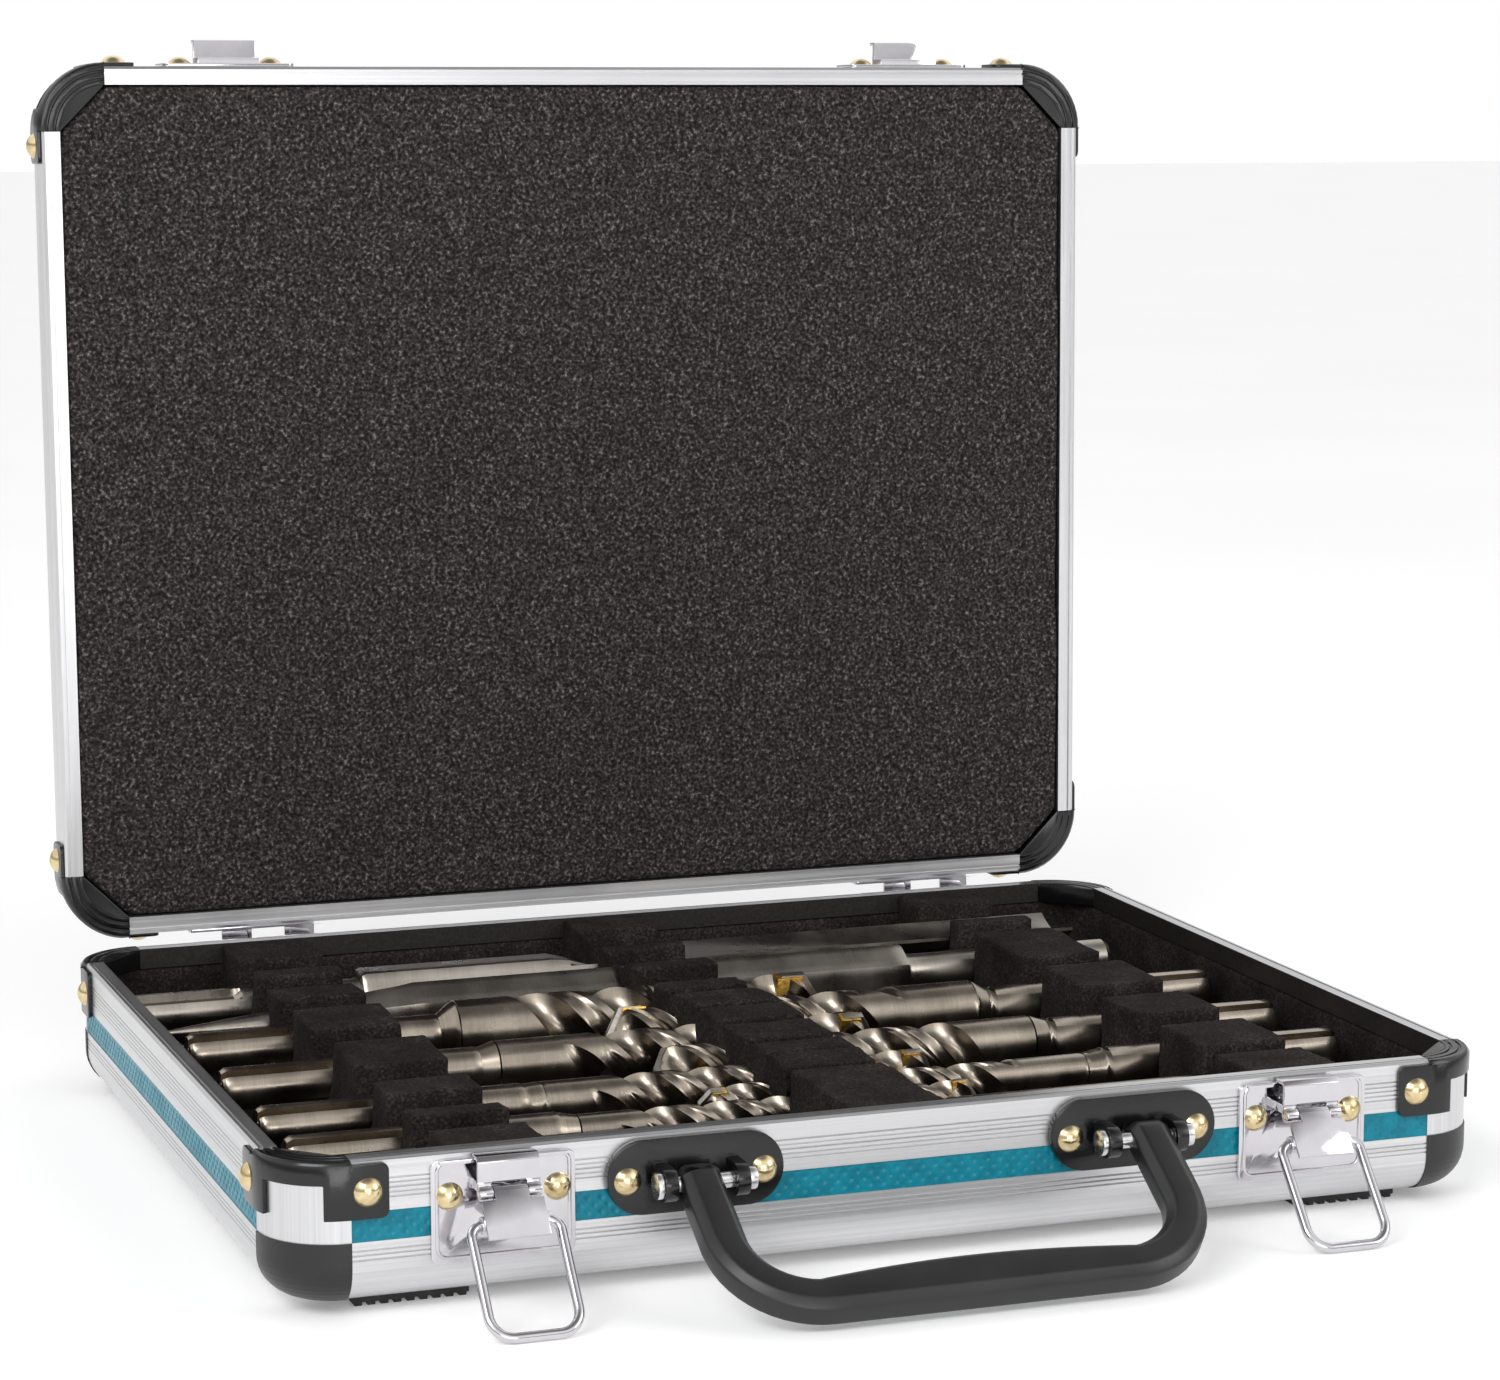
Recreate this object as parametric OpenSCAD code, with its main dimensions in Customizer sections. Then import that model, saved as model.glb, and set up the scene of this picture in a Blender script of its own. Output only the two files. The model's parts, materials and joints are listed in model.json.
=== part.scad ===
// Aluminium attache-style tool case, open, with fitted foam and a drill and chisel set.
// Millimetres. X to the right, Y to the back, Z up, floor at Z = 0.

/* [Case] */
// Width over the aluminium walls
case_w = 280; // [277:1:290]
// Depth over the aluminium walls, front to back
case_d = 219; // [219:1:230]
// Height of the tray walls, underside to rim
tray_h = 31.5; // [31.5:0.5:36]
// Height of the lid walls, rim to outer panel
lid_h = 20.4; // [20:0.2:28]
// Radius of the upright corners
corner_r = 16; // [15.6:0.1:16.6]
// Radius of the long rounded edges under the tray and on top of the lid
edge_r = 9; // [8:0.5:9]
// Width of the rails that meet at the rim
rail_w = 4.5; // [4.3:0.1:4.6]
// Thickness of the extruded walls
wall_t = 1.1; // [1:0.1:1.2]
// Gap between the tray rim and the closed lid rim
seam = 0.3; // [0.2:0.1:0.5]
// Distance from the bounding box centre to the tray centre
tray_y = 5.53; // [0:0.01:10]

/* [Coloured strip] */
// Top of the strip below the rim
strip_top = 11.3; // [10.8:0.1:11.8]
// Height of the strip
strip_h = 6.3; // [5.6:0.1:6.3]

/* [Lid hinge] */
// Angle that the lid stands open
open_angle = 91; // [90:1:100]
// Hinge pin behind the back wall
hinge_out = 4.4; // [4.2:0.1:5.6]
// Hinge pin below the rim
hinge_down = 3.2; // [2.9:0.1:4]
// Hinges, latches and catches, left and right of the middle
fitting_x = 92; // [86:1:96]
// Length of a hinge
hinge_len = 33; // [28:1:34]

/* [Latches] */
// Angle of the open lever below the horizontal
lever_angle = 53.7; // [50:0.1:60]
// Angle of the hanging wire bail below the horizontal
bail_angle = 49; // [45:0.5:49]
// Distance from bail pivot to the far bar of the bail
bail_len = 25.2; // [25.1:0.1:25.3]
// Diameter of the bail wire
wire_d = 2.2; // [2:0.1:2.2]

/* [Handle] */
// Handle arms, left and right of the middle
arm_x = 51.5; // [51:0.5:52]
// Angle of the resting handle below the horizontal
handle_angle = 31.6; // [20:0.2:31.6]
// Reach of the handle from its pivot
handle_reach = 40; // [36:1:40]
// Thickness of the handle
handle_t = 7.7; // [6.5:0.1:7.7]

/* [Drills and chisels] */
// Depth of the tool axes below the rim
tool_down = 11.2; // [10.6:0.1:11.6]
// Clearance round each tool in its slot
tool_gap = 0.3; // [0.2:0.1:0.6]

/* [Hidden] */
$fn = 64;
foot_h = 2.8;
rim_z = foot_h + tray_h;
rim_drop = seam / 2;
half_w = case_w / 2;
half_d = case_d / 2;
lip_h = 5.2;
lip_t = 0.7;
flange = 5.6;
brace_t = 1;
rivet_r = 3.1;
rivet_h = 1.8;
lining_out = 2;
lining_top = lip_h + 0.14;
lining_bottom = tray_h - 6.4;
panel_t = 1;
pad_inset = 5.4;
row_clear = rail_w + 0.28;
strip_t = 0.5;
// Foam rows: left edge and width
row_w = 21.7;
row_x = [-102.9, -12.6, 82.6];
row_top = 0.35;
// Latch: hinge pin of the lever and bail pivot along the lever
lever_out = 5.2;
lever_down = 8.4;
lever_len = 6.5;
lever_drop = 0.7;
latch_w = 31;
catch_w = 33.5;
rivet_dx = 11.6;
// Handle brackets
bracket_x = 50.4;
bracket_w = 39;
bracket_h = 16;
bracket_z = 9.2;
bracket_rivet_dx = 15.1;
pivot_out = 7;
pivot_down = 9.8;
arm_w = 9.1;
grip_w = 8.8;
lug_in = 6.5;
lug_t = 2.8;
bolt_r = 1.75;
pin_r = 0.9;
run_gap = 0.05;
silver = [0.80, 0.81, 0.83];
chrome = [0.88, 0.89, 0.91];
black = [0.09, 0.09, 0.10];
foam = [0.14, 0.12, 0.12];
teal = [0.05, 0.47, 0.57];
brass = [0.80, 0.68, 0.38];
steel = [0.55, 0.52, 0.47];

// Masonry drills: name, distance from the front face, body radius, length, X of the shank's end, and
// the way they point along X
left_x = 13 - half_w;
right_x = half_w - 9;
DRILLS = [["drill_16", 144.5, 8, 160, left_x, 1], ["drill_14", 126, 7, 160, right_x, -1],
          ["drill_12_left", 109, 6, 160, left_x, 1], ["drill_12_right", 90, 6, 160, right_x, -1],
          ["drill_10", 72, 5, 160, left_x, 1], ["drill_8_right", 58.5, 4, 160, right_x, -1],
          ["drill_8_left", 45, 4, 160, left_x, 1], ["drill_6_left", 26.5, 3, 110, left_x, 1],
          ["drill_6_right", 27, 3, 110, 18, 1]];
// Chisels: name, distance from the front face, X of the shank's end, and the way they point
POINT = ["point_chisel", 168, 122.5, -1];
GOUGE = ["gouge_chisel", 189.5, -131.5, 1];
shank_r = 5;
drill_shank = 61;
drill_neck = 4;
chisel_len = 250;
chisel_shank = 57;
point_len = 62;
blade_len = 140;
blade_w = 20;
hex_r = 7 / cos(30);
// Slots in each foam row: distance from the front face, width of the notch, radius of the round seat,
// and how far the notch goes below the tool's axis
SLOTS = [[[189.5, 10.8, shank_r, 0], [168, 13.4, 6.4, 0], [144.5, 10.8, shank_r, 0],
          [109, 14, shank_r, 0], [72, 13, shank_r, 0], [45, 10.8, shank_r, 0],
          [26.5, 10.8, shank_r, 0]],
         [[189.5, 20.8, 0, 6], [168, 14.8, 8.2, 5], [144.5, 16.8, 8, 0], [126, 14.8, 7, 0],
          [109, 12.8, 6, 0], [90, 12.8, 6, 0], [72, 10.8, 5, 0], [58.5, 8.8, 4, 0], [45, 8.8, 4, 0]],
         [[189.5, 20.8, 0, -2], [168, 10.8, shank_r, 0], [126, 12, shank_r, 0],
          [90, 10.8, shank_r, 0], [58.5, 10.8, shank_r, 0], [27, 7, 3, 0]]];

// ---- Helpers ----

function arc(cx, cy, r, a0, a1, n) =
    [for (i = [0:n]) let (a = a0 + (a1 - a0) * i / n) [cx + r * cos(a), cy + r * sin(a)]];

// Rounded rectangle, centred
module rounded(w, d, r) {
    if (w > 2 * r) square([w - 2 * r, d], center = true);
    if (d > 2 * r) square([w, d - 2 * r], center = true);
    for (x = [-1, 1], y = [-1, 1])
        translate([x * (w / 2 - r), y * (d / 2 - r)]) circle(r);
}

// Tray frame: origin on the floor under the tray centre
module tray() translate([0, tray_y, 0]) children();

// Height zero at the tray rim
module rim() tray() translate([0, 0, rim_z]) children();

// Lid frame: height zero at the tray rim when closed, drawn closed and swung open
module lid()
    rim() translate([0, half_d + hinge_out, -hinge_down]) rotate([-open_angle, 0, 0])
        translate([0, -half_d - hinge_out, hinge_down]) children();

// Face i (0 front, 1 right, 2 back, 3 left): X along the wall, Y outwards from its outer face
module face(i)
    rotate([0, 0, [180, -90, 0, 90][i]]) translate([0, [half_d, half_w][i % 2], 0]) children();

function run(i) = [case_w, case_d][i % 2] - 2 * corner_r;

// The four upright corners: origin on the corner's axis, quarter 0 to 90 degrees outwards
module corners()
    for (i = [0:3]) {
        sx = [1, -1, -1, 1][i];
        sy = [1, 1, -1, -1][i];
        translate([sx * (half_w - corner_r), sy * (half_d - corner_r), 0]) rotate([0, 0, 90 * i])
            children();
    }

// Flat plate on a wall, standing out by t, from height z0 to z1
module wall_plate(w, z0, z1, t, r)
    translate([0, 0, (z0 + z1) / 2]) rotate([-90, 0, 0]) linear_extrude(t) rounded(w, z1 - z0, r);

// Profile in the Y-Z plane, extruded along X from x0 over length len
module along_x(x0, len) translate([x0, 0, 0]) rotate([90, 0, 90]) linear_extrude(len) children();

// Rod along X, centred on x
module rod_x(x, len, r) translate([x - len / 2, 0, 0]) rotate([0, 90, 0]) cylinder(len, r, r);

// Dome rivet head on a face, its axis along Y
module rivet(r, h) {
    ball = (r * r + h * h) / (2 * h);
    rotate([-90, 0, 0]) intersection() {
        translate([0, 0, h - ball]) sphere(ball);
        cylinder(h, r, r);
    }
}

// ---- Walls ----

// Wall section: outer face at 0, rim at height 0, hanging down to -h
function grooves(top, step, n) =
    [for (i = [0:n - 1]) let (z = -top - i * step) each [[0, z + 0.21], [-0.24, z], [0, z - 0.21]]];
function strip_channel() =
    [[0, -strip_top], [-0.7, -strip_top], [-0.7, -strip_top - strip_h], [0, -strip_top - strip_h]];
function channel_back() =
    [[-wall_t, -strip_top - strip_h - 0.98], [-wall_t - 0.7, -strip_top - strip_h - 0.28],
     [-wall_t - 0.7, -strip_top + 0.28], [-wall_t, -strip_top + 0.98]];
function wall_section(h, has_strip) = concat(
    [[-rail_w, -rim_drop], [-1.89, -rim_drop], [-1.89, -0.63], [-1.4, -0.63], [-1.4, -rim_drop],
     [-0.7, -rim_drop], [0, -0.7]],
    grooves(4.5, 1, 5),
    has_strip ? strip_channel() : [],
    has_strip ? grooves(19.4, 1, 3) : [],
    arc(-edge_r, edge_r - h, edge_r, 0, -90, 10),
    [[-edge_r - flange, -h], [-edge_r - flange, wall_t - h]],
    arc(-edge_r, edge_r - h, edge_r - wall_t, -90, 0, 10),
    has_strip ? channel_back() : [],
    [[-wall_t, -lip_h], [-rail_w, -lip_h]]);

module wall(i, h, has_strip)
    color(silver) face(i) along_x(-run(i) / 2, run(i)) polygon(wall_section(h, has_strip));

module front_wall() rim() wall(0, tray_h, true);
module right_wall() rim() wall(1, tray_h, true);
module back_wall() rim() wall(2, tray_h, true);
module left_wall() rim() wall(3, tray_h, true);

// Blue strips in the wall channels
module side_strips()
    color(teal) rim() for (i = [0:3])
        face(i) translate([-run(i) / 2, -0.7, -strip_top - strip_h]) cube([run(i), strip_t, strip_h]);

// Curved upright corner pieces, from under the brace down to depth bottom
module posts(bottom)
    color(silver) corners() translate([0, 0, -bottom])
        rotate_extrude(angle = 90) translate([corner_r - wall_t, 0]) square([wall_t, bottom - lip_h - 0.07]);

// Moulded corner caps: the wall section turned round the corner, from depth top to h
module caps(top, h) {
    proud = 0.28;
    big = corner_r + proud;
    r = edge_r + proud;
    section = concat([[big - 1.68, -top], [big, -top]], arc(big - r, edge_r - h, r, 0, -90, 10),
        [[3.5, -h - proud], [3.5, 1.4 - h]], arc(big - r, edge_r - h, r - 1.68, -90, 0, 10));
    color(black) corners() rotate_extrude(angle = 90) polygon(section);
}

// Braces round the rim corners: a grooved ring, an inner gusset and two riveted tabs down to depth bottom
module braces(bottom) {
    tab_in = 7.84;
    tab_z0 = -bottom;
    tab_z1 = -0.98;
    ring_in = corner_r - rail_w;
    r = corner_r;
    ring = [[ring_in, -lip_h], [r + brace_t, -lip_h], [r + brace_t, -1.12], [r + 0.28, -rim_drop],
        [r - 0.98, -rim_drop], [r - 0.98, -0.63], [r - 1.54, -0.63], [r - 1.54, -rim_drop],
        [r - 2.94, -rim_drop], [r - 2.94, -0.63], [r - 3.5, -0.63], [r - 3.5, -rim_drop],
        [ring_in, -rim_drop]];
    color(black) corners() {
        rotate_extrude(angle = 90) polygon(ring);
        // Gusset between the ring and the chord across its ends
        translate([0, 0, -lip_h]) linear_extrude(lip_h - 0.42) intersection() {
            circle(ring_in);
            polygon([[ring_in, 0], [ring_in, ring_in], [0, ring_in]]);
        }
        // Tabs on the two faces, wrapped a little way round the corner
        for (a = [0, 1]) mirror([a, -a, 0]) {
            translate([corner_r, -tab_in, tab_z0]) tab_plate(tab_in, tab_z1 - tab_z0);
            rotate_extrude(angle = 20) translate([corner_r, tab_z0]) square([brace_t, -lip_h - tab_z0]);
        }
    }
}

// Tab plate from Y = 0 to len, with its free corners rounded
module tab_plate(len, h) {
    r = 1.75;
    rotate([90, 0, 90]) linear_extrude(brace_t) {
        translate([r, 0]) square([len - r, h]);
        translate([0, r]) square([len, h - 2 * r]);
        for (z = [r, h - r]) translate([r, z]) circle(r);
    }
}

// Rivets of the braces: one on each tab
module brace_rivets(z)
    for (i = [0:3], s = [-1, 1])
        face(i) translate([s * (run(i) / 2 - 3.43), brace_t, z]) rivet(rivet_r, rivet_h);

module corner_posts() rim() posts(strip_top + strip_h);
module ball_corners() rim() caps(strip_top + strip_h, tray_h);
module corner_braces() rim() braces(12.6);

module tray_rivets()
    color(brass) rim() {
        brace_rivets(-6.93);
        face(0) for (s = [-1, 1], t = [-1, 1]) {
            translate([s * fitting_x + t * rivet_dx, lip_t + 0.14, -9.45]) rivet(2.97, 1.68);
            translate([s * bracket_x + t * bracket_rivet_dx, 2.1, -9.73]) rivet(2.97, 1.68);
        }
    }

// ---- Tray bottom and inside ----

module slab(inset, r, z0, z1)
    rim() translate([0, 0, -z0]) linear_extrude(z0 - z1) rounded(case_w - 2 * inset, case_d - 2 * inset, r);

module bottom_panel()
    color(black) slab(edge_r + 2.1, 2.8, tray_h - wall_t - 0.32, tray_h - wall_t - 0.32 - panel_t);

// Rubber feet with cross ribs, near the front and back corners
module feet() {
    foot_w = 25.2;
    foot_d = 8.4;
    ribs = 9;
    pitch = foot_w / ribs;
    color(black) tray() for (sx = [-1, 1], sy = [-1, 1])
        translate([sx * 109, sy * (half_d - edge_r - 5.6), 0]) {
            translate([-foot_w / 2, -foot_d / 2, 0.7]) cube([foot_w, foot_d, foot_h - 0.7]);
            for (i = [0:ribs - 1])
                translate([-foot_w / 2 + (i + 0.2) * pitch, -foot_d / 2, 0])
                    cube([0.6 * pitch, foot_d, 0.7]);
        }
}

module lining()
    color(foam) rim() translate([0, 0, -lining_bottom]) linear_extrude(lining_bottom - lining_top)
        difference() {
            rounded(case_w - 2 * lining_out, case_d - 2 * lining_out, corner_r - lining_out);
            rounded(case_w - 2 * rail_w, case_d - 2 * rail_w, corner_r - rail_w);
        }

module floor_pad() color(foam) slab(pad_inset, corner_r - pad_inset, tray_h - 2.59, tray_h - 5.46);

// Foam row k, notched for the tools
module foam_row(k) {
    depth = tray_h - 5.46;
    color(foam) rim() difference() {
        translate([row_x[k], -half_d + row_clear, -depth])
            cube([row_w, case_d - 2 * row_clear, depth - row_top]);
        for (s = SLOTS[k]) translate([row_x[k] + row_w / 2, s[0] - half_d, -tool_down]) {
            translate([-row_w, -s[1] / 2, -s[3]]) cube([2 * row_w, s[1], tool_down + s[3] + 1]);
            if (s[2] > 0) rod_x(0, 2 * row_w, s[2] + tool_gap);
        }
    }
}

module foam_row_left() foam_row(0);
module foam_row_middle() foam_row(1);
module foam_row_right() foam_row(2);

// ---- Lid ----

// Parts of the lid are the tray's parts turned over about the seam
module lid_side() lid() mirror([0, 0, 1]) children();

module lid_front_wall() lid_side() wall(0, lid_h, false);
module lid_right_wall() lid_side() wall(1, lid_h, false);
module lid_back_wall() lid_side() wall(2, lid_h, false);
module lid_left_wall() lid_side() wall(3, lid_h, false);
module lid_corner_posts() lid_side() posts(lid_h - edge_r);
module lid_ball_corners() lid_side() caps(lid_h - edge_r, lid_h);
module lid_corner_braces() lid_side() braces(11.2);

module lid_rivets()
    color(brass) lid() {
        brace_rivets(6.93);
        face(0) for (s = [-1, 1], t = [-1, 1])
            translate([s * fitting_x + t * rivet_dx, lip_t + 0.14, 8.05]) rivet(2.97, 1.68);
    }

module lid_panel()
    color(black) lid() translate([0, 0, lid_h - wall_t - 0.32 - panel_t])
        linear_extrude(panel_t) rounded(case_w - 2 * (edge_r + 2.1), case_d - 2 * (edge_r + 2.1), 2.8);

// Foam pad that fills the lid, its corners cut across inside the braces
module lid_foam_pad() {
    w = half_w - row_clear;
    d = half_d - row_clear;
    c = corner_r - row_clear + 0.14;
    color(foam) lid() translate([0, 0, 0.56]) linear_extrude(lid_h - wall_t - panel_t - 1.12)
        polygon([[c - w, -d], [w - c, -d], [w, c - d], [w, d - c], [w - c, d], [c - w, d], [-w, d - c],
                 [-w, c - d]]);
}

// ---- Hinges ----

knuckle_r = 2;
knuckle_n = 4;
knuckle_w = hinge_len / knuckle_n;

// Knuckles with numbers from the list which, as rings round the pin with their webs
module knuckles(which) {
    translate([0, hinge_out, -hinge_down]) for (k = which)
        translate([(k + 0.5 - knuckle_n / 2) * knuckle_w, 0, 0]) difference() {
            union() {
                rod_x(0, knuckle_w - 0.35, knuckle_r);
                children();
            }
            rod_x(0, knuckle_w, pin_r + run_gap);
        }
}

module hinge_leaf_lower(s)
    color(chrome) rim() face(2) translate([s * fitting_x, 0, 0]) {
        wall_plate(hinge_len, -12.6, -2.1, 0.84, 1.05);
        knuckles([0, 2]) translate([0.17 - knuckle_w / 2, 0.7 - hinge_out, -knuckle_r])
            cube([knuckle_w - 0.35, hinge_out - 0.7, 1.26]);
    }

module hinge_leaf_upper(s)
    color(chrome) lid() face(2) translate([s * fitting_x, 0, 0]) {
        wall_plate(hinge_len, 0.84, 11.9, 0.84, 1.05);
        knuckles([1, 3]) translate([0.17 - knuckle_w / 2, 0, 0]) {
            translate([0, 0.98, 0]) cube([knuckle_w - 0.35, knuckle_r - 0.98, hinge_down + 1.68]);
            translate([0, 0.7 - hinge_out, hinge_down + 0.84])
                cube([knuckle_w - 0.35, hinge_out - 0.7 + knuckle_r, 0.84]);
        }
    }

module hinge_leaf_lower_left() hinge_leaf_lower(-1);
module hinge_leaf_lower_right() hinge_leaf_lower(1);
module hinge_leaf_upper_left() hinge_leaf_upper(-1);
module hinge_leaf_upper_right() hinge_leaf_upper(1);

module hinge_pins()
    color(steel) rim() face(2) for (s = [-1, 1])
        translate([s * fitting_x, hinge_out, -hinge_down]) rod_x(0, hinge_len, pin_r);

module hinge_rivets(z)
    color(chrome) face(2) for (s = [-1, 1], t = [-1, 1])
        translate([s * fitting_x + t * 10.5, 0.84, z]) rivet(1.82, 0.91);
module hinge_rivets_lower() rim() hinge_rivets(-8.82);
module hinge_rivets_upper() lid() hinge_rivets(8.05);

// ---- Latches ----

channel_w = 13.3;
lever_pin_r = 0.7;
knob_r = 1.5;

module latch_plate(s)
    color(chrome) rim() face(0) translate([s * fitting_x, 0, 0]) {
        difference() {
            wall_plate(latch_w, -23.8, -1.82, 0.84, 1.75);
            wall_plate(channel_w - 2.1, -6.3, -2.8, 0.91, 0.35);
        }
        translate([-latch_w / 2 + 1.75, 0.84, -2.66]) cube([latch_w - 3.5, 0.7, 0.84]);
        // Raised channel that carries the hinge pin
        along_x(-channel_w / 2, channel_w)
            polygon([[0.84, -0.84], [3.92, -0.84], [4.9, -1.82], [4.9, -6.3], [4.06, -6.3], [4.06, -2.1],
                     [3.64, -1.68], [0.84, -1.68]]);
        for (x = [-1, 1]) difference() {
            translate([x * 5.2, lever_out, -lever_down]) union() {
                rod_x(0, 2.8, knob_r);
                translate([-1.4, -knob_r, 0]) cube([2.8, 1.26, 2.24]);
                translate([-1.4, -lever_out + 0.84, 0.28]) cube([2.8, lever_out - 1.82, 1.96]);
            }
            translate([0, lever_out, -lever_down]) rod_x(0, 21, lever_pin_r + run_gap);
        }
    }

module latch_plate_left() latch_plate(1);
module latch_plate_right() latch_plate(-1);

module latch_pins()
    color(steel) rim() face(0) for (s = [-1, 1])
        translate([s * fitting_x, lever_out, -lever_down]) rod_x(0, channel_w - 0.28, lever_pin_r);

// Frame of an open lever: origin on its pin, Y along the lever, Z towards its outer side
module lever_frame(s)
    rim() face(0) translate([s * fitting_x, lever_out, -lever_down])
        rotate([-lever_angle, 0, 0]) children();

module latch_lever(s)
    color(chrome) lever_frame(s) difference() {
        union() {
            rod_x(0, 7.28, knob_r);
            translate([-3.64, 0, 0.84]) cube([7.28, 2.38, 0.84]);
            translate([-6.65, 2.24, 0.84]) cube([13.3, 8.26, 0.84]);
            for (x = [-5.3, 0, 5.3]) {
                translate([x, lever_len, -lever_drop]) rod_x(0, 3.64, wire_d / 2 + 0.77);
                translate([x - 1.82, lever_len - 1.12, -lever_drop]) cube([3.64, 2.24, 2.1]);
            }
        }
        rod_x(0, 8.4, lever_pin_r + run_gap);
        translate([0, lever_len, -lever_drop]) rod_x(0, 16.8, wire_d / 2 + run_gap);
    }

module latch_lever_left() latch_lever(1);
module latch_lever_right() latch_lever(-1);

// Bail pivot in the Y-Z plane of the front face, from the lever's angle
bail_out = lever_out + lever_len * cos(lever_angle) - lever_drop * sin(lever_angle);
bail_down = lever_down + lever_len * sin(lever_angle) + lever_drop * cos(lever_angle);
bail_half = 9.5;

// Quarter of a wire bend of radius r in the X-Y plane, from +X to +Y
module bend(r) rotate_extrude(angle = 90) translate([r, 0]) circle(wire_d / 2, $fn = 24);

module bail(s) {
    top_r = 2.8;
    end_r = 4.9;
    color(chrome) rim() face(0) translate([s * fitting_x, bail_out, -bail_down])
        rotate([-bail_angle, 0, 0]) {
            rod_x(0, 2 * (bail_half - top_r), wire_d / 2);
            translate([0, bail_len, 0]) rod_x(0, 2 * (bail_half - end_r), wire_d / 2);
            for (m = [0, 1]) mirror([m, 0, 0]) {
                translate([bail_half - top_r, top_r, 0]) rotate([0, 0, -90]) bend(top_r);
                translate([bail_half - end_r, bail_len - end_r, 0]) bend(end_r);
                translate([bail_half, top_r, 0]) rotate([-90, 0, 0])
                    cylinder(bail_len - top_r - end_r, wire_d / 2, wire_d / 2);
            }
        }
}

module bail_left() bail(1);
module bail_right() bail(-1);

// Catch on the lid's front wall: plate and a hook that the bail drops over
module catch(s)
    color(chrome) lid() face(0) translate([s * fitting_x, 0, 0]) {
        wall_plate(catch_w, 2.1, 14, 0.84, 1.75);
        along_x(-7.91, 15.82)
            polygon([[0.84, 2.8], [2.24, 2.8], [2.24, 7.63], [6.72, 7.63], [6.72, 10.78], [5.88, 10.78],
                     [5.88, 9.03], [0.84, 9.03]]);
    }

module catch_left() catch(1);
module catch_right() catch(-1);

// ---- Handle ----

module handle_bracket(s)
    color(black) rim() face(0) translate([s * bracket_x, 0, 0]) {
        wall_plate(bracket_w, -bracket_z - bracket_h / 2, -bracket_z + bracket_h / 2, 2.1, bracket_h / 2);
        for (x = [-1, 1]) translate([x * (lug_in + lug_t / 2), pivot_out, -pivot_down]) difference() {
            union() {
                rod_x(0, lug_t, 3.5);
                translate([-lug_t / 2, 1.4 - pivot_out, -3.5]) cube([lug_t, pivot_out - 1.4, 7]);
            }
            rod_x(0, 7, bolt_r + run_gap);
        }
    }

module handle_bracket_left() handle_bracket(1);
module handle_bracket_right() handle_bracket(-1);

// Pivot bolts: shank, round head, nut and the washers beside the arms
module handle_bolts()
    color(chrome) rim() face(0) for (s = [-1, 1])
        translate([s * bracket_x, pivot_out, -pivot_down]) {
            rod_x(0, 2 * (lug_in + lug_t), bolt_r);
            translate([lug_in + lug_t + 0.77, 0, 0]) rod_x(0, 1.4, 2.87);
            translate([-lug_in - lug_t - 0.98, 0, 0]) rod_x(0, 1.82, 2.52);
        }

// Frame of the resting handle: origin on the pivot line, Y along the arms
module handle_frame()
    rim() face(0) translate([0, pivot_out, -pivot_down]) rotate([-handle_angle, 0, 0]) children();

module handle() {
    outer_x = arm_x + arm_w / 2;
    inner_x = arm_x - arm_w / 2;
    outer_r = 22.4;
    inner_r = 12.6;
    color(black) handle_frame() difference() {
        union() {
            translate([0, 0, -handle_t / 2]) linear_extrude(handle_t) difference() {
                union() {
                    translate([-outer_x, 0]) square([2 * outer_x, handle_reach - outer_r]);
                    translate([0, handle_reach - outer_r]) rounded(2 * outer_x, 2 * outer_r, outer_r);
                }
                translate([-inner_x, -outer_r - 7])
                    square([2 * inner_x, handle_reach - grip_w - inner_r + outer_r + 7]);
                translate([0, handle_reach - grip_w - inner_r - 14])
                    rounded(2 * inner_x, 2 * inner_r + 28, inner_r);
                translate([-outer_x, -2 * outer_r]) square([2 * outer_x, 2 * outer_r]);
            }
            for (s = [-1, 1]) translate([s * arm_x, 0, 0]) rod_x(0, arm_w, handle_t / 2);
        }
        for (s = [-1, 1]) translate([s * arm_x, 0, 0]) rod_x(0, arm_w + 1.4, bolt_r + run_gap);
    }
}

// ---- Tools ----

// Tool t, drawn along Z from its shank's end, laid along X in its slot
module laid(t, x_end, way)
    rim() translate([x_end, t[1] - half_d, -tool_down]) rotate([0, 0, way > 0 ? 0 : 180])
        rotate([0, 90, 0]) children();

// The two open drive grooves in a shank
module shank_grooves()
    for (s = [-1, 1]) translate([s * 4.4 - 1.4, -1.3, -1]) cube([2.8, 2.6, 28]);

// Drill from DRILLS: grooved shank, neck, the body's outer cylinder and a blunt cone
module drill(k) {
    d = DRILLS[k];
    r = d[2];
    cone = r * 0.7;
    start = drill_shank + drill_neck;
    color(steel) laid(d, d[4], d[5]) difference() {
        union() {
            cylinder(drill_shank, shank_r, shank_r);
            translate([0, 0, drill_shank]) cylinder(drill_neck, shank_r, r);
            translate([0, 0, start]) cylinder(d[3] - start - cone, r, r);
            translate([0, 0, d[3] - cone]) cylinder(cone, r, r * 0.25);
        }
        shank_grooves();
    }
}

// Shank and hexagonal stem of a chisel, the stem ending at z and turned about its axis
module chisel_stem(z, turn)
    difference() {
        union() {
            cylinder(chisel_shank + 2, shank_r, shank_r);
            translate([0, 0, chisel_shank]) rotate([0, 0, turn])
                cylinder(z - chisel_shank, hex_r, hex_r, $fn = 6);
        }
        shank_grooves();
    }

// Point chisel: the hexagonal stem ends in a cone
module point_chisel()
    color(steel) laid(POINT, POINT[2], POINT[3]) {
        chisel_stem(chisel_len - point_len + 1, 0);
        translate([0, 0, chisel_len - point_len]) cylinder(point_len, 6.8, 0.8);
    }

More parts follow.
